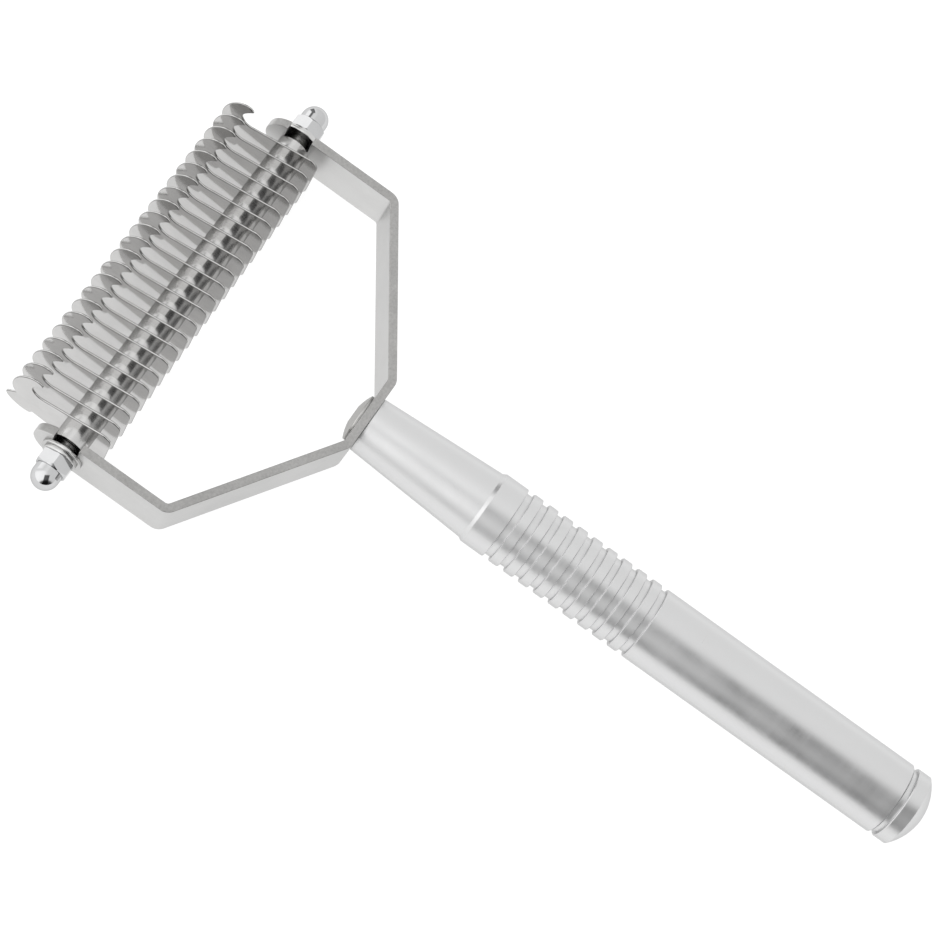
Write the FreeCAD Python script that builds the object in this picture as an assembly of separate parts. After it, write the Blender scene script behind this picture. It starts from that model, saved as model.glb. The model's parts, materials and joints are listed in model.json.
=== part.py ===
import FreeCAD, Part
import math
import os

from FreeCAD import Vector

# Undercoat rake: a turned handle, a bent strip yoke and a pack of hooked blades on a threaded stud.
# Frame: origin on the handle's axis at the middle of the smooth grip, +X toward the blades,
# +Y toward the left end of the stud, +Z toward the blades' hook tips. All lengths are in mm.

# ---- handle, stations measured along X from the middle of the smooth grip ----
HANDLE_R = 10.0
GRIP_LENGTH = 75.4
RING_COUNT = 9
RING_WIDTH = 2.7
GROOVE_WIDTH = 1.8
GROOVE_DEPTH = 0.95
COLLAR_LENGTH = 6.6
BEVEL_LENGTH = 0.9
CONE_BACK_R = 9.45
CONE_FRONT_R = 7.5
CONE_LENGTH = 34.3
END_GROOVE_WIDTH = 1.4
CAP_LENGTH = 3.5
CAP_DOME_RISE = 4.0
EDGE_BREAK = 0.2

# ---- yoke, a flat strip bent at four corners; corner positions are on its outer face ----
STRIP_WIDTH = 15.5
STRIP_THICKNESS = 2.3
YOKE_HALF_WIDTH = 51.3
FLAT_HALF_WIDTH = 10.4
FLAT_TO_FIRST_BEND = 26.4
OUTER_BEND_R = 3.6
ARM_END_FROM_STUD = 0.8
SLOT_WIDTH = 7.0
SLOT_FLOOR_RISE = 0.95

# ---- screw that holds the yoke on the handle ----
SCREW_R = 3.0
SCREW_HOLE_R = 3.2
SCREW_LENGTH = 18.0
SCREW_HEAD_R = 6.4
SCREW_RIM = 0.7
SCREW_CROWN = 1.5
SCREW_HEX_FLATS = 4.0
SCREW_HEX_DEPTH = 1.4

# ---- stud, blades and spacers ----
STUD_TO_YOKE_FRONT = 55.2
STUD_R = 2.5
STUD_HALF_LENGTH = 59.5
THREAD_PITCH = 0.8
THREAD_DEPTH = 0.4
THREAD_LENGTH = 13.6
THREAD_CREST_FLAT = 0.01
RUNNING_GAP = 0.05
FACE_GAP = 0.02
BLADE_COUNT = 23
BLADE_THICKNESS = 0.55
BLADE_PITCH = 4.07
SPACER_R = 4.25

# ---- blade outline in the blade's own plane: (forward, up) from the stud's axis ----
BACK_TOP = (-5.6, 8.9)
BACK_TOP_ROUND = (-7.4, 8.3)
BACK_UPPER = (-8.4, 6.3)
BACK_LOWER = (-8.4, -7.4)
BACK_BOTTOM_ROUND = (-7.5, -9.2)
BACK_BOTTOM = (-5.6, -9.9)
GULLET = [(10.6, 4.5), (12.5, 4.6), (13.8, 5.7), (14.3, 7.4), (13.7, 9.6), (12.0, 12.2)]
HOOK_OUTSIDE = [(12.0, 12.2), (13.2, 13.3), (14.6, 13.1), (16.4, 11.8), (18.3, 9.0), (19.4, 5.0)]
PLAIN_NOSE = [(19.4, 5.0), (19.5, 2.6), (18.9, -0.4), (17.2, -4.2), (14.2, -6.9)]
SPURRED_NOSE = [(19.4, 5.0), (19.5, 2.6), (19.0, 0.2), (17.8, -2.0)]
SPUR_FRONT = [(17.8, -2.0), (20.3, -5.2)]
SPUR_UNDERSIDE = [(20.3, -5.2), (19.4, -7.4), (17.2, -8.8), (14.4, -9.3), (13.0, -8.8)]
SPUR_BACK = [(13.0, -8.8), (12.4, -7.4)]
ARC_CHAIN_TOLERANCE = 0.03

# ---- washers and acorn nuts ----
FLAT_WASHER_R = 5.5
FLAT_WASHER_THICKNESS = 0.8
SPRING_WASHER_R = 4.6
SPRING_WASHER_THICKNESS = 1.0
SPRING_WASHER_CUT = 0.9
SPRING_WASHER_LEAN_DEG = 25.0
NUT_FLATS = 8.0
NUT_HEX_HEIGHT = 3.6
NUT_DOME_R = 3.6
NUT_DOME_CENTRE = 5.3
NUT_BORE_DEPTH = 7.0
NUT_STEP_TO_DOME = 0.1

# ---- stations that follow from the sizes above ----
GRIP_FRONT = GRIP_LENGTH / 2
GRIP_BACK = -GRIP_LENGTH / 2
RING_ZONE = RING_COUNT * RING_WIDTH + (RING_COUNT + 1) * GROOVE_WIDTH
COLLAR_FRONT = GRIP_FRONT + RING_ZONE + COLLAR_LENGTH
CONE_BACK = COLLAR_FRONT + BEVEL_LENGTH
HANDLE_FRONT = CONE_BACK + CONE_LENGTH
STUD_X = HANDLE_FRONT + STUD_TO_YOKE_FRONT
ARM_INNER_Y = YOKE_HALF_WIDTH - STRIP_THICKNESS

X_AXIS = Vector(1, 0, 0)
Y_AXIS = Vector(0, 1, 0)
Z_AXIS = Vector(0, 0, 1)


def polygon_face(points):
    """Flat face inside straight lines through the points."""
    corners = [Vector(*point) for point in points]
    return Part.Face(Part.makePolygon(corners + [corners[0]]))


def turned(profile, axis):
    """Solid of revolution of a list of (along, radius) pairs that starts and ends on the axis."""
    if axis == X_AXIS:
        points = [(along, radius, 0) for along, radius in profile]
    else:
        points = [(radius, along, 0) for along, radius in profile]
    return polygon_face(points).revolve(Vector(0, 0, 0), axis, 360)


def ring(outer_r, inner_r, start_y, length):
    """Plain ring on the stud's axis."""
    base = Vector(STUD_X, start_y, 0)
    outer = Part.makeCylinder(outer_r, length, base, Y_AXIS)
    return outer.cut(Part.makeCylinder(inner_r, length, base, Y_AXIS))


def hexagon_prism(flats, height, base, axis):
    """Hexagonal prism that grows from base along X or Y."""
    corner_r = flats / math.sqrt(3)
    points = []
    for step in range(6):
        angle = math.radians(60 * step + 30)
        across = corner_r * math.cos(angle)
        up = corner_r * math.sin(angle)
        if axis == X_AXIS:
            points.append(base + Vector(0, across, up))
        else:
            points.append(base + Vector(across, 0, up))
    return Part.Face(Part.makePolygon(points + [points[0]])).extrude(axis * height)


def make_handle():
    """Turned bar: dome end, smooth grip, ringed zone, collar and front cone, with a screw hole."""
    groove_r = HANDLE_R - GROOVE_DEPTH
    cap_front = GRIP_BACK - END_GROOVE_WIDTH
    cap_back = cap_front - CAP_LENGTH
    profile = [
        (cap_back, 0),
        (cap_back, HANDLE_R),
        (cap_front - EDGE_BREAK, HANDLE_R),
        (cap_front, HANDLE_R - EDGE_BREAK),
        (cap_front, groove_r),
        (GRIP_BACK, groove_r),
        (GRIP_BACK, HANDLE_R - 2 * EDGE_BREAK),
        (GRIP_BACK + 2 * EDGE_BREAK, HANDLE_R),
        (GRIP_FRONT - EDGE_BREAK, HANDLE_R),
        (GRIP_FRONT, HANDLE_R - EDGE_BREAK),
    ]
    for index in range(RING_COUNT):
        start = GRIP_FRONT + GROOVE_WIDTH + index * (RING_WIDTH + GROOVE_WIDTH)
        profile += [
            (start - GROOVE_WIDTH, groove_r),
            (start, groove_r),
            (start, HANDLE_R - EDGE_BREAK),
            (start + EDGE_BREAK, HANDLE_R),
            (start + RING_WIDTH - EDGE_BREAK, HANDLE_R),
            (start + RING_WIDTH, HANDLE_R - EDGE_BREAK),
        ]
    collar_back = GRIP_FRONT + RING_ZONE
    profile += [
        (collar_back - GROOVE_WIDTH, groove_r),
        (collar_back, groove_r),
        (collar_back, HANDLE_R - EDGE_BREAK),
        (collar_back + EDGE_BREAK, HANDLE_R),
        (COLLAR_FRONT, HANDLE_R),
        (CONE_BACK, CONE_BACK_R),
        (HANDLE_FRONT - EDGE_BREAK, CONE_FRONT_R),
        (HANDLE_FRONT, CONE_FRONT_R - EDGE_BREAK),
        (HANDLE_FRONT, 0),
    ]
    handle = turned(profile, X_AXIS)

    # The butt's shallow dome is a slice of a ball that meets the cap at its full radius.
    ball_r = (HANDLE_R**2 + CAP_DOME_RISE**2) / (2 * CAP_DOME_RISE)
    ball = Part.makeSphere(ball_r, Vector(cap_back - CAP_DOME_RISE + ball_r, 0, 0))
    slab = Part.makeCylinder(HANDLE_R, CAP_DOME_RISE, Vector(cap_back - CAP_DOME_RISE, 0, 0), X_AXIS)
    handle = handle.fuse(ball.common(slab)).removeSplitter()

    hole_start = Vector(HANDLE_FRONT - SCREW_LENGTH, 0, 0)
    return handle.cut(Part.makeCylinder(SCREW_R, SCREW_LENGTH, hole_start, X_AXIS))


def yoke_outline(inset):
    """Corner points of the bent strip's outer face, or of its inner face when inset is the thickness."""
    bend_x = HANDLE_FRONT + FLAT_TO_FIRST_BEND
    slope = math.atan2(FLAT_TO_FIRST_BEND, YOKE_HALF_WIDTH - FLAT_HALF_WIDTH)
    flat_half = FLAT_HALF_WIDTH - inset * math.tan(slope / 2)
    half = YOKE_HALF_WIDTH - inset
    bend_x += inset * math.tan((math.pi / 2 - slope) / 2)
    arm_tip_x = STUD_X + ARM_END_FROM_STUD + STRIP_WIDTH
    flat_x = HANDLE_FRONT + inset
    low = -STRIP_WIDTH / 2
    return [
        (arm_tip_x, -half, low),
        (bend_x, -half, low),
        (flat_x, -flat_half, low),
        (flat_x, flat_half, low),
        (bend_x, half, low),
        (arm_tip_x, half, low),
    ]


def bend_edges(solid, points):
    """The solid's upright edges that stand over the four middle points of an outline."""
    found = []
    for edge in solid.Edges:
        ends = [vertex.Point for vertex in edge.Vertexes]
        upright = len(ends) == 2 and abs(ends[0].z - ends[1].z) > STRIP_WIDTH / 2
        for x, y, _ in points[1:5]:
            if upright and math.hypot(ends[0].x - x, ends[0].y - y) < 0.01:
                found.append(edge)
    return found


def make_yoke():
    """Strip bent into a bow, with rounded arm ends, open stud slots and the screw hole."""
    rise = Vector(0, 0, STRIP_WIDTH)
    outer_points = yoke_outline(0)
    inner_points = yoke_outline(STRIP_THICKNESS)
    outer = polygon_face(outer_points).extrude(rise)
    inner = polygon_face(inner_points).extrude(rise)
    outer = outer.makeFillet(OUTER_BEND_R, bend_edges(outer, outer_points))
    inner = inner.makeFillet(OUTER_BEND_R - STRIP_THICKNESS, bend_edges(inner, inner_points))
    bow = outer.cut(inner)

    # Each arm ends in a half round as wide as the strip.
    round_x = STUD_X + ARM_END_FROM_STUD
    reach = 2 * YOKE_HALF_WIDTH
    body = Part.makeBox(
        round_x - HANDLE_FRONT, reach, STRIP_WIDTH, Vector(HANDLE_FRONT, -reach / 2, -STRIP_WIDTH / 2)
    )
    tip = Part.makeCylinder(STRIP_WIDTH / 2, reach, Vector(round_x, -reach / 2, 0), Y_AXIS)
    bow = bow.common(body.fuse(tip))

    slot_r = SLOT_WIDTH / 2
    slot = Part.makeCylinder(slot_r, reach, Vector(STUD_X, -reach / 2, SLOT_FLOOR_RISE), Y_AXIS)
    mouth = Part.makeBox(
        SLOT_WIDTH, reach, STRIP_WIDTH, Vector(STUD_X - slot_r, -reach / 2, SLOT_FLOOR_RISE)
    )
    hole = Part.makeCylinder(SCREW_HOLE_R, 2 * STRIP_THICKNESS, Vector(HANDLE_FRONT, 0, 0), X_AXIS)
    return bow.cut(slot.fuse(mouth)).cut(hole).removeSplitter()


def make_yoke_screw():
    """Low round-headed screw through the yoke's flat middle into the handle."""
    seat = HANDLE_FRONT + STRIP_THICKNESS
    shank = Part.makeCylinder(
        SCREW_R, SCREW_LENGTH + STRIP_THICKNESS, Vector(HANDLE_FRONT - SCREW_LENGTH, 0, 0), X_AXIS
    )
    rim = Part.makeCylinder(SCREW_HEAD_R, SCREW_RIM, Vector(seat, 0, 0), X_AXIS)
    ball_r = (SCREW_HEAD_R**2 + SCREW_CROWN**2) / (2 * SCREW_CROWN)
    top = seat + SCREW_RIM + SCREW_CROWN
    crown = Part.makeSphere(ball_r, Vector(top - ball_r, 0, 0)).common(
        Part.makeCylinder(SCREW_HEAD_R, SCREW_CROWN, Vector(seat + SCREW_RIM, 0, 0), X_AXIS)
    )
    socket = hexagon_prism(SCREW_HEX_FLATS, SCREW_HEX_DEPTH, Vector(top - SCREW_HEX_DEPTH, 0, 0), X_AXIS)
    return shank.fuse(rim).fuse(crown).cut(socket).removeSplitter()


def make_stud():
    """Round rod with a vee thread, drawn as rings, at both ends."""
    root_r = STUD_R - THREAD_DEPTH
    start = STUD_HALF_LENGTH - THREAD_LENGTH
    right_end = [(-STUD_HALF_LENGTH, 0), (-STUD_HALF_LENGTH, root_r)]
    left_end = [(start, STUD_R)]
    for index in range(int(THREAD_LENGTH / THREAD_PITCH)):
        crest = THREAD_PITCH * (index + 0.5)
        right_end.append((-STUD_HALF_LENGTH + crest, STUD_R))
        right_end.append((-STUD_HALF_LENGTH + crest + THREAD_PITCH / 2, root_r))
        left_end.append((start + crest - THREAD_PITCH / 2 + THREAD_CREST_FLAT, STUD_R))
        left_end.append((start + crest, root_r))
    last_crest = STUD_HALF_LENGTH - THREAD_PITCH / 2 + THREAD_CREST_FLAT
    left_end += [(last_crest, STUD_R), (STUD_HALF_LENGTH, root_r)]
    right_end += [(-start, STUD_R)]
    profile = right_end + left_end + [(STUD_HALF_LENGTH, 0)]
    return turned(profile, Y_AXIS).translated(Vector(STUD_X, 0, 0))


def make_blade(centre_y, with_spur):
    """Flat blade with a backward-curling hook, and with a lower front spur if asked for."""
    def spots(pairs):
        return [Vector(STUD_X + forward, centre_y - BLADE_THICKNESS / 2, up) for forward, up in pairs]

    def line(*pairs):
        return Part.makePolygon(spots(pairs)).Edges

    def arc(*pairs):
        return [Part.Arc(*spots(pairs)).toShape()]

    def curve(pairs):
        """Smooth curve through the spots, as a chain of arcs that run into each other."""
        spline = Part.BSplineCurve()
        spline.interpolate(spots(pairs))
        return [piece.toShape() for piece in spline.toBiArcs(ARC_CHAIN_TOLERANCE)]

    edges = line(BACK_TOP, GULLET[0]) + curve(GULLET) + curve(HOOK_OUTSIDE)
    if with_spur:
        edges += curve(SPURRED_NOSE) + line(*SPUR_FRONT) + curve(SPUR_UNDERSIDE) + line(*SPUR_BACK)
        belly = SPUR_BACK[-1]
    else:
        edges += curve(PLAIN_NOSE)
        belly = PLAIN_NOSE[-1]
    edges += line(belly, BACK_BOTTOM)
    edges += arc(BACK_BOTTOM, BACK_BOTTOM_ROUND, BACK_LOWER)
    edges += line(BACK_LOWER, BACK_UPPER)
    edges += arc(BACK_UPPER, BACK_TOP_ROUND, BACK_TOP)

    outline = Part.Wire(Part.__sortEdges__(edges))
    blade = Part.Face(outline).extrude(Y_AXIS * BLADE_THICKNESS)
    hole_start = Vector(STUD_X, centre_y - BLADE_THICKNESS, 0)
    return blade.cut(Part.makeCylinder(STUD_R + RUNNING_GAP, 2 * BLADE_THICKNESS, hole_start, Y_AXIS))


def make_spring_washer(start_y):
    """Split ring with a leaning cut on its underside, as on a sprung lock washer."""
    washer = ring(SPRING_WASHER_R, STUD_R + 2 * RUNNING_GAP, start_y, SPRING_WASHER_THICKNESS)
    cut = Part.makeBox(
        SPRING_WASHER_CUT, 4 * SPRING_WASHER_THICKNESS, SPRING_WASHER_R,
        Vector(-SPRING_WASHER_CUT / 2, -2 * SPRING_WASHER_THICKNESS, -1.5 * SPRING_WASHER_R),
    )
    cut.rotate(Vector(0, 0, 0), Z_AXIS, SPRING_WASHER_LEAN_DEG)
    cut.translate(Vector(STUD_X, start_y + SPRING_WASHER_THICKNESS / 2, 0))
    return washer.cut(cut)


def make_acorn_nut(start_y):
    """Hexagon with bevelled corners, a dome and a blind hole, standing out along +Y."""
    base = Vector(STUD_X, start_y, 0)
    hexagon = hexagon_prism(NUT_FLATS, NUT_HEX_HEIGHT, base, Y_AXIS)
    corner_r = NUT_FLATS / math.sqrt(3)
    bevel = corner_r - NUT_FLATS / 2
    blank = turned(
        [(0, 0), (0, corner_r - bevel / 2), (bevel / 3, corner_r), (NUT_HEX_HEIGHT - bevel, corner_r),
         (NUT_HEX_HEIGHT, NUT_FLATS / 2 - NUT_STEP_TO_DOME), (NUT_HEX_HEIGHT, 0)],
        Y_AXIS,
    ).translated(base)
    neck = Part.makeCylinder(NUT_DOME_R, NUT_DOME_CENTRE, base, Y_AXIS)
    dome = Part.makeSphere(NUT_DOME_R, base + Y_AXIS * NUT_DOME_CENTRE)
    dome = dome.common(Part.makeCylinder(corner_r, 3 * NUT_DOME_R, base, Y_AXIS))
    nut = hexagon.common(blank).fuse(neck).fuse(dome)
    hole = Part.makeCylinder(STUD_R + RUNNING_GAP, NUT_BORE_DEPTH, base, Y_AXIS)
    return nut.cut(hole).removeSplitter()


def mirrored_right(shape):
    """The same piece on the stud's right end."""
    return shape.mirror(Vector(0, 0, 0), Y_AXIS)


def make_all():
    """Every separate piece by name."""
    pieces = {
        "handle": make_handle(),
        "yoke": make_yoke(),
        "yoke_screw": make_yoke_screw(),
        "axle_stud": make_stud(),
    }

    first_y = -BLADE_PITCH * (BLADE_COUNT - 1) / 2
    for index in range(BLADE_COUNT):
        pieces[f"blade_{index + 1:02d}"] = make_blade(first_y + index * BLADE_PITCH, index % 2 == 0)

    # Spacers fill the gaps between blades; the two end ones reach the yoke's arms.
    bore_r = STUD_R + RUNNING_GAP
    gap = BLADE_PITCH - BLADE_THICKNESS
    pack_end = -first_y + BLADE_THICKNESS / 2
    end_length = ARM_INNER_Y - FACE_GAP - pack_end
    for index in range(BLADE_COUNT - 1):
        start = first_y + index * BLADE_PITCH + BLADE_THICKNESS / 2
        pieces[f"spacer_{index + 1:02d}"] = ring(SPACER_R, bore_r, start, gap)
    end_spacer = ring(SPACER_R, bore_r, pack_end, end_length)

    washer_y = YOKE_HALF_WIDTH + FACE_GAP
    spring_y = washer_y + FLAT_WASHER_THICKNESS
    nut_y = spring_y + SPRING_WASHER_THICKNESS + FACE_GAP
    left_pieces = {
        "end_spacer": end_spacer,
        "flat_washer": ring(FLAT_WASHER_R, STUD_R + 3 * RUNNING_GAP, washer_y, FLAT_WASHER_THICKNESS),
        "spring_washer": make_spring_washer(spring_y),
        "acorn_nut": make_acorn_nut(nut_y),
    }
    for name, shape in left_pieces.items():
        pieces[name + "_left"] = shape
        pieces[name + "_right"] = mirrored_right(shape)
    return pieces


os.makedirs("parts", exist_ok=True)
for node, shape in make_all().items():
    solid = shape.Solids[0]
    print(node, "solids", len(shape.Solids), "valid", solid.isValid(), "volume", round(solid.Volume, 1))
    solid.exportStep("parts/" + node + ".step")
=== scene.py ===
"""Looks for the undercoat rake: metal surfaces, studio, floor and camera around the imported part.

Frame: origin on the handle's axis in the middle of the smooth grip, +X toward the blades,
+Y toward the left end of the stud, +Z toward the blades' hook tips. Lengths are in metres.
"""

import json
import math

import bpy
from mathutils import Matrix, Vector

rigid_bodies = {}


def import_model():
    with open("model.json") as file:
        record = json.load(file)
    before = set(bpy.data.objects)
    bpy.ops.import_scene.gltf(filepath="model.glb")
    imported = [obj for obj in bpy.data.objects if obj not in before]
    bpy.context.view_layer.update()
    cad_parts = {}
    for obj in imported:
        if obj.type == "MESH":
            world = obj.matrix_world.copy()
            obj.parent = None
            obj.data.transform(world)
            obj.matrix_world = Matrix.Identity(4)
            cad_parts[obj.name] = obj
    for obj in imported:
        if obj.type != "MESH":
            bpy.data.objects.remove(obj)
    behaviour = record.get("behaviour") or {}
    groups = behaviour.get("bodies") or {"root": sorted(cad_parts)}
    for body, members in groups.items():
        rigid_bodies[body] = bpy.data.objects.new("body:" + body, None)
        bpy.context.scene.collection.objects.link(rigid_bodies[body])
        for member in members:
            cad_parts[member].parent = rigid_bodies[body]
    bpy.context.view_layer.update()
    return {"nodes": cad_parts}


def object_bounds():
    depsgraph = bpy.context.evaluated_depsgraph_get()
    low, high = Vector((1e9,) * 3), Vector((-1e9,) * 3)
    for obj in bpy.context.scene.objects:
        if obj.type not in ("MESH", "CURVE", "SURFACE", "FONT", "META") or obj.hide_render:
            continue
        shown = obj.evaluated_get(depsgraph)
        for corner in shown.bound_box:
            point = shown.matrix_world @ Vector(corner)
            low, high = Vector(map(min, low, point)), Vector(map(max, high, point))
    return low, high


MM = 0.001

# Faces that meet at less than the first angle are one face; edges above the second are rounded.
FLAT_ANGLE_DEG = 0.5
EDGE_ANGLE_DEG = 35.0

# ---- camera: seen from above, past the left end of the stud ----
CAMERA_PLACE = (0.127795, 0.26721, 0.68721)
CAMERA_TURN_DEG = (16.5672, -14.4066, -147.0165)
CAMERA_LENS_MM = 114.9
CAMERA_SENSOR_MM = 36.0

# ---- studio: floor and backdrop ----
FLOOR_SIZE = 6.0
FLOOR_WHITE = 0.20
FLOOR_GLOW = 0.93
FLOOR_ROUGHNESS = 0.9
BACKDROP_WHITE = 1.1

# ---- light tent ----
# Toward means toward the camera's side, aside means toward the lamp's side. Each curve is a list
# of (how far a direction points that way, level), from -1 to 1, or (how far off a middle, level).
TOWARD = (-0.58, 0.81, 0.0)
ASIDE = (0.81, 0.58, 0.0)
# Brightness of the tent's wall against how far a direction points aside.
WALL_LIGHT = [(-1.0, 0.92), (-0.4, 0.95), (-0.1, 1.02), (1.0, 1.05)]
# The lamp's glow on the wall, and how it fades on the far side.
LAMP_GLOW = [(-1.0, 0.0), (-0.25, 0.0), (0.35, 0.40), (1.0, 0.45)]
LAMP_FADE = [(-1.0, 1.0), (-0.78, 1.0), (-0.60, 0.1), (-0.25, 1.0), (1.0, 1.0)]
# Share of the light that is left low down on the camera's side.
LOW_EDGE = [(-1.0, 1.0), (0.60, 1.0), (0.70, 0.85), (0.80, 0.25), (0.88, 0.08), (1.0, 0.06)]
# The gap that the camera looks through: a leaning stripe on the camera's side. Its light against
# how far a direction is off the stripe's middle, and how it closes toward the top.
GAP_ACROSS = (0.955, 0.378, 0.0)
GAP_SHIFT = 0.16
GAP_WIDTH = [(0.0, 0.12), (0.26, 0.12), (0.40, 1.0), (1.0, 1.0)]
GAP_TOP = [(-1.0, 1.0), (0.06, 1.0), (0.28, 0.0), (1.0, 0.0)]
# A dark seam low on the far side: its light off its middle, and how it closes toward the top.
SEAM_SHIFT = -0.17
SEAM_WIDTH = [(0.0, 0.18), (0.17, 0.18), (0.20, 1.0), (1.0, 1.0)]
SEAM_TOP = [(-1.0, 0.0), (-0.69, 0.0), (-0.62, 1.0), (1.0, 1.0)]

# ---- metals ----
# Share of a metal's shine that is left where its surface turns edge-on.
EDGE_DIM = 0.7
SATIN_STEEL = (0.680, 0.678, 0.672)
BLANKED_EDGE = (0.420, 0.416, 0.408)
BLADE_STEEL = (0.530, 0.526, 0.520)
# Blades: the edge colour is a painted highlight on the edge-on faces, and the corner colour is
# painted shade on the rounded corners beside them.
BLADE_EDGE_PAINTED_HIGHLIGHT = (0.720, 0.716, 0.708)
BLADE_CORNER_PAINTED_SHADE = (0.200, 0.197, 0.192)
CHROME = (0.590, 0.592, 0.596)
# How finely each pattern repeats, in cells per metre along X, Y and Z or every way alike.
TURNED_CLOUDS = 110.0
YOKE_GRAIN = (120.0, 120.0, 5200.0)
YOKE_TORN = (1400.0, 1400.0, 500.0)
YOKE_CLOUDS = 70.0
BLADE_LINES = (260.0, 300.0, 3600.0)
BLADE_CLOUDS = 160.0
CHROME_RIPPLE = 900.0
CHROME_CLOUDS = 260.0
# Full height of each surface's relief.
YOKE_RELIEF = 0.05 * MM
BLADE_RELIEF = 0.003 * MM
CHROME_RELIEF = 0.004 * MM

# Lathe-turned metals: the lathe's axis (0 is X, 1 is Y), the rings' pitch and height, and the
# share by which the tone wanders.
TURNED_METALS = {
    "screw_steel": {
        "colour": (0.500, 0.495, 0.482),
        "axis": 0,
        "roughness": 0.34,
        "pitch": 0.5 * MM,
        "relief": 0.006 * MM,
        "wear": 0.04,
    },
    "handle_aluminium": {
        "colour": (0.698, 0.699, 0.700),
        "axis": 0,
        "roughness": 0.36,
        "pitch": 0.45 * MM,
        "relief": 0.0015 * MM,
        "wear": 0.012,
    },
    "stud_steel": {
        "colour": (0.480, 0.477, 0.470),
        "axis": 1,
        "roughness": 0.30,
        "pitch": 0.4 * MM,
        "relief": 0.01 * MM,
        "wear": 0.05,
    },
    "spacer_steel": {
        "colour": (0.600, 0.597, 0.590),
        "axis": 1,
        "roughness": 0.21,
        "pitch": 0.3 * MM,
        "relief": 0.008 * MM,
        "wear": 0.03,
    },
    "washer_steel": {
        "colour": (0.640, 0.638, 0.632),
        "axis": 1,
        "roughness": 0.22,
        "pitch": 0.4 * MM,
        "relief": 0.006 * MM,
        "wear": 0.05,
    },
}

# Metal and width of the soft edges, by the first key that a node's name contains.
LOOKS = {
    "yoke_screw": ("screw_steel", 0.15 * MM),
    "handle": ("handle_aluminium", 0),
    "yoke": ("yoke_steel", 0.2 * MM),
    "axle_stud": ("stud_steel", 0),
    "blade": ("blade_steel", 0.15 * MM),
    "spacer": ("spacer_steel", 0),
    "washer": ("washer_steel", 0.1 * MM),
    "nut": ("nut_chrome", 0),
}


class Nodes:
    """Small helper that adds and joins shader nodes in one material or world."""

    def __init__(self, tree):
        self.tree = tree

    def add(self, kind, inputs=None, **settings):
        """Adds a node with the given inputs and settings."""
        node = self.tree.nodes.new(kind)
        for name, value in settings.items():
            setattr(node, name, value)
        for name, value in (inputs or {}).items():
            self.feed(node, name, value)
        return node

    def feed(self, node, name, value):
        """Links a socket into an input, or sets the input's own value."""
        socket = node.inputs[name]
        if isinstance(value, bpy.types.NodeSocket):
            self.tree.links.new(value, socket)
        elif socket.type == "RGBA" and len(value) == 3:
            socket.default_value = tuple(value) + (1.0,)
        else:
            socket.default_value = value

    def math(self, operation, *values):
        """One sum or comparison of numbers."""
        inputs = dict(enumerate(values))
        return self.add("ShaderNodeMath", inputs, operation=operation).outputs[0]

    def stretched(self, vector, scale):
        """A vector stretched by a different factor on each axis."""
        inputs = {0: vector, 1: scale}
        return self.add("ShaderNodeVectorMath", inputs, operation="MULTIPLY").outputs[0]

    def dot(self, first, second):
        """How far one vector points along another."""
        inputs = {0: first, 1: second}
        return self.add("ShaderNodeVectorMath", inputs, operation="DOT_PRODUCT").outputs["Value"]

    def axis(self, vector, name):
        """One axis of a vector."""
        return self.add("ShaderNodeSeparateXYZ", {0: vector}).outputs[name]

    def place(self):
        """The point on the object, in metres of the part's own frame."""
        return self.add("ShaderNodeTexCoord").outputs["Object"]

    def facing(self):
        """The way the object's own surface faces."""
        return self.add("ShaderNodeTexCoord").outputs["Normal"]

    def noise(self, vector, detail=2.0, roughness=0.5, scale=1.0):
        """Smooth random values around 0.5."""
        inputs = {"Vector": vector, "Scale": scale, "Detail": detail, "Roughness": roughness}
        return self.add("ShaderNodeTexNoise", inputs).outputs[0]

    def spread(self, value, low, high, from_low=0.3, from_high=0.7):
        """Maps the usual span of a noise onto low..high."""
        inputs = {"Value": value, 1: from_low, 2: from_high, 3: low, 4: high}
        return self.add("ShaderNodeMapRange", inputs, clamp=True).outputs[0]

    def ramp(self, value, stops):
        """A smooth curve of grey levels through (position, level) stops, for positions 0..1."""
        node = self.add("ShaderNodeValToRGB", {0: value})
        node.color_ramp.interpolation = "EASE"
        elements = node.color_ramp.elements
        while len(elements) < len(stops):
            elements.new(0.5)
        for element, (position, level) in zip(elements, stops):
            element.position = position
            element.color = (level, level, level, 1)
        return node.outputs[0]

    def between(self, factor, first, second):
        """Mixes two numbers."""
        return self.add("ShaderNodeMix", {0: factor, 2: first, 3: second}).outputs[0]

    def blend(self, factor, first, second):
        """Mixes two colours."""
        node = self.add("ShaderNodeMix", {0: factor, 6: first, 7: second}, data_type="RGBA")
        return node.outputs[2]

    def lift(self, colour, factor):
        """A colour made lighter or darker by a factor."""
        inputs = {0: colour, 3: factor}
        return self.add("ShaderNodeVectorMath", inputs, operation="SCALE").outputs[0]


def metal(name, edge_shine=EDGE_DIM):
    """A new metallic material. Returns the material, its node helper and its shader node."""
    material = bpy.data.materials.new(name)
    material.use_nodes = True
    shader = next(n for n in material.node_tree.nodes if n.type == "BSDF_PRINCIPLED")
    shader.inputs["Metallic"].default_value = 1.0
    shader.inputs["Specular Tint"].default_value = (edge_shine, edge_shine, edge_shine, 1)
    return material, Nodes(material.node_tree), shader


def bumped(nodes, shader, height, relief):
    """Drives the shader's normal from a height from 0 to 1, which stands for 0 to the relief."""
    inputs = {"Height": height, "Distance": relief, "Strength": 1.0}
    nodes.feed(shader, "Normal", nodes.add("ShaderNodeBump", inputs).outputs[0])


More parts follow.
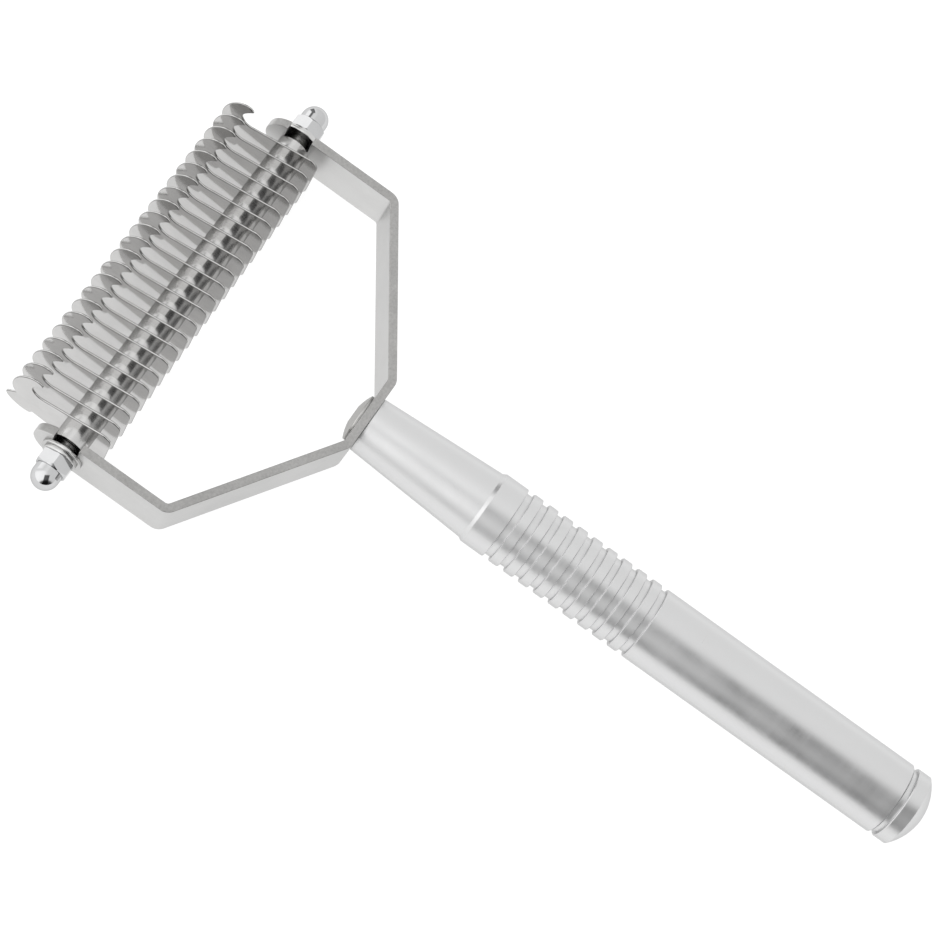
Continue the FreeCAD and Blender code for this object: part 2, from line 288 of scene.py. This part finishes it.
def turned_metal(name, colour, axis, roughness, pitch, relief, wear):
    """Lathe-turned metal: fine rings across an axis and faint cloudy wear."""
    material, nodes, shader = metal(name)
    place = nodes.place()
    along = [0.0, 0.0, 0.0]
    along[axis] = 1.0 / pitch
    rings = nodes.noise(nodes.stretched(place, tuple(along)), detail=3.0, roughness=0.7)
    clouds = nodes.noise(place, detail=4.0, roughness=0.6, scale=TURNED_CLOUDS)
    ring_tone = nodes.spread(rings, 1 - wear, 1 + wear)
    cloud_tone = nodes.spread(clouds, 1 - wear, 1 + wear)
    tone = nodes.math("MULTIPLY", ring_tone, cloud_tone)
    nodes.feed(shader, "Base Color", nodes.lift(colour, tone))
    ring_rough = nodes.spread(rings, 0.8, 1.2)
    cloud_rough = nodes.spread(clouds, 0.88 * roughness, 1.12 * roughness)
    nodes.feed(shader, "Roughness", nodes.math("MULTIPLY", ring_rough, cloud_rough))
    bumped(nodes, shader, rings, relief)
    return material


def yoke_metal():
    """Satin strip: lengthwise grain on the rolled faces, darker torn grain on the blanked edges."""
    material, nodes, shader = metal("yoke_steel")
    place = nodes.place()
    grain = nodes.noise(nodes.stretched(place, YOKE_GRAIN), detail=4.0, roughness=0.65)
    clouds = nodes.noise(place, detail=4.0, roughness=0.55, scale=YOKE_CLOUDS)
    torn = nodes.noise(nodes.stretched(place, YOKE_TORN), detail=4.0, roughness=0.7)
    upward = nodes.math("ABSOLUTE", nodes.axis(nodes.facing(), "Z"))
    edge = nodes.spread(upward, 0.0, 1.0, 0.35, 0.6)
    face_clouds = nodes.spread(clouds, 0.96, 1.04)
    face_tone = nodes.math("MULTIPLY", nodes.spread(grain, 0.965, 1.03), face_clouds)
    edge_clouds = nodes.spread(clouds, 0.9, 1.1)
    edge_tone = nodes.math("MULTIPLY", nodes.spread(torn, 0.82, 1.18), edge_clouds)
    face = nodes.lift(SATIN_STEEL, face_tone)
    blanked = nodes.lift(BLANKED_EDGE, edge_tone)
    nodes.feed(shader, "Base Color", nodes.blend(edge, face, blanked))
    face_rough = nodes.spread(grain, 0.28, 0.40)
    edge_rough = nodes.spread(torn, 0.40, 0.58)
    nodes.feed(shader, "Roughness", nodes.between(edge, face_rough, edge_rough))
    height = nodes.between(edge, nodes.math("MULTIPLY", grain, 0.12), torn)
    bumped(nodes, shader, height, YOKE_RELIEF)
    return material


def blade_metal():
    """Polished blade: clear faces with faint polishing lines, ground edges with a painted
    highlight, and painted shade on the rounded corners beside them.
    """
    material, nodes, shader = metal("blade_steel", edge_shine=1.0)
    place = nodes.place()
    lines = nodes.noise(nodes.stretched(place, BLADE_LINES), detail=4.0, roughness=0.6)
    clouds = nodes.noise(place, detail=3.0, roughness=0.5, scale=BLADE_CLOUDS)
    sideways = nodes.math("ABSOLUTE", nodes.axis(nodes.facing(), "Y"))
    face = nodes.spread(sideways, 0.0, 1.0, 0.90, 0.97)
    # Painted highlight where the blade turns edge-on, fading into painted shade on the rounded
    # corners beside it.
    corner = nodes.spread(sideways, 0.0, 1.0, 0.08, 0.20)
    rim = nodes.blend(corner, BLADE_EDGE_PAINTED_HIGHLIGHT, BLADE_CORNER_PAINTED_SHADE)
    cloud_tone = nodes.spread(clouds, 0.95, 1.04)
    tone = nodes.math("MULTIPLY", nodes.spread(lines, 0.97, 1.03), cloud_tone)
    nodes.feed(shader, "Base Color", nodes.lift(nodes.blend(face, rim, BLADE_STEEL), tone))
    face_rough = nodes.spread(lines, 0.05, 0.12)
    nodes.feed(shader, "Roughness", nodes.between(face, 0.20, face_rough))
    bumped(nodes, shader, lines, BLADE_RELIEF)
    return material


def chrome_plate():
    """Bright plating: almost clear, with a faint ripple and a few softer patches."""
    material, nodes, shader = metal("nut_chrome")
    place = nodes.place()
    ripple = nodes.noise(place, detail=2.0, roughness=0.5, scale=CHROME_RIPPLE)
    clouds = nodes.noise(place, detail=3.0, roughness=0.5, scale=CHROME_CLOUDS)
    nodes.feed(shader, "Base Color", nodes.lift(CHROME, nodes.spread(clouds, 0.96, 1.02)))
    nodes.feed(shader, "Roughness", nodes.spread(clouds, 0.03, 0.09))
    bumped(nodes, shader, ripple, CHROME_RELIEF)
    return material


def soften_edges(node, width, segments=2):
    """Small rounded edges on a CAD node, after its split corners and flat faces are merged."""
    weld = node.modifiers.new("join_corners", "WELD")
    weld.merge_threshold = 0.0005 * MM
    plain = node.modifiers.new("plain_faces", "DECIMATE")
    plain.decimate_type = "DISSOLVE"
    plain.angle_limit = math.radians(FLAT_ANGLE_DEG)
    bevel = node.modifiers.new("round_edges", "BEVEL")
    bevel.width = width
    bevel.segments = segments
    bevel.limit_method = "ANGLE"
    bevel.angle_limit = math.radians(EDGE_ANGLE_DEG)
    even = node.modifiers.new("even_shading", "WEIGHTED_NORMAL")
    even.keep_sharp = False


def plain_floor():
    """Pale studio floor with a glow of its own, so that shadows stay faint."""
    floor_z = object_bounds()[0].z
    bpy.ops.mesh.primitive_plane_add(size=FLOOR_SIZE, location=(0, 0, floor_z))
    floor = bpy.context.object
    floor.name = "studio_floor"
    material = bpy.data.materials.new("studio_floor")
    material.use_nodes = True
    shader = next(n for n in material.node_tree.nodes if n.type == "BSDF_PRINCIPLED")
    shader.inputs["Base Color"].default_value = (FLOOR_WHITE, FLOOR_WHITE, FLOOR_WHITE, 1)
    shader.inputs["Roughness"].default_value = FLOOR_ROUGHNESS
    shader.inputs["Specular IOR Level"].default_value = 0.0
    shader.inputs["Emission Color"].default_value = (1, 1, 1, 1)
    shader.inputs["Emission Strength"].default_value = FLOOR_GLOW
    floor.data.materials.append(material)


def studio_world():
    """White light tent all round, with a lamp's glow, the camera's gap and a dark seam."""
    world = bpy.data.worlds.new("studio")
    world.use_nodes = True
    bpy.context.scene.world = world
    nodes = Nodes(world.node_tree)
    direction = nodes.add("ShaderNodeTexCoord").outputs["Generated"]

    def lit(vector, stops):
        """Levels against how far a direction points along a vector."""
        reach = nodes.math("MULTIPLY_ADD", nodes.dot(direction, vector), 0.5, 0.5)
        return nodes.ramp(reach, [(0.5 + 0.5 * at, level) for at, level in stops])

    def stripe(across, shift, width, top):
        """Levels of a dark stripe, which lies across a vector and closes toward its top."""
        off_middle = nodes.math("ADD", nodes.dot(direction, across), shift)
        side = nodes.ramp(nodes.math("ABSOLUTE", off_middle), width)
        return nodes.math("MAXIMUM", side, lit(TOWARD, top))

    lamp = nodes.math("MULTIPLY", lit(ASIDE, LAMP_GLOW), lit(TOWARD, LAMP_FADE))
    light = nodes.math("ADD", lit(ASIDE, WALL_LIGHT), lamp)
    light = nodes.math("MULTIPLY", light, stripe(GAP_ACROSS, GAP_SHIFT, GAP_WIDTH, GAP_TOP))
    light = nodes.math("MULTIPLY", light, lit(TOWARD, LOW_EDGE))
    light = nodes.math("MULTIPLY", light, stripe(ASIDE, SEAM_SHIFT, SEAM_WIDTH, SEAM_TOP))
    tent = nodes.add("ShaderNodeBackground", {"Color": light})
    backdrop = nodes.add("ShaderNodeBackground", {"Color": (1, 1, 1), "Strength": BACKDROP_WHITE})
    seen = nodes.add("ShaderNodeLightPath").outputs["Is Camera Ray"]
    mix = nodes.add("ShaderNodeMixShader", {0: seen, 1: tent.outputs[0], 2: backdrop.outputs[0]})
    output = next(n for n in world.node_tree.nodes if n.type == "OUTPUT_WORLD")
    world.node_tree.links.new(mix.outputs[0], output.inputs["Surface"])


def place_camera():
    """Camera with the object filling the frame."""
    camera = bpy.data.objects.new("camera", bpy.data.cameras.new("camera"))
    camera.location = CAMERA_PLACE
    camera.rotation_euler = [math.radians(turn) for turn in CAMERA_TURN_DEG]
    camera.data.lens = CAMERA_LENS_MM
    camera.data.sensor_width = CAMERA_SENSOR_MM
    bpy.context.scene.collection.objects.link(camera)
    bpy.context.scene.camera = camera


def dress(cad_nodes):
    """Gives each CAD node its material and soft edges."""
    metals = {name: turned_metal(name, **settings) for name, settings in TURNED_METALS.items()}
    metals["yoke_steel"] = yoke_metal()
    metals["blade_steel"] = blade_metal()
    metals["nut_chrome"] = chrome_plate()
    for name, node in cad_nodes.items():
        metal_name, edge_width = LOOKS[next(key for key in LOOKS if key in name)]
        node.data.materials.clear()
        node.data.materials.append(metals[metal_name])
        if edge_width:
            soften_edges(node, edge_width)


for leftover in list(bpy.data.objects):
    bpy.data.objects.remove(leftover)
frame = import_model()

dress(frame["nodes"])
plain_floor()
studio_world()
place_camera()
bpy.context.scene.view_settings.view_transform = "Standard"
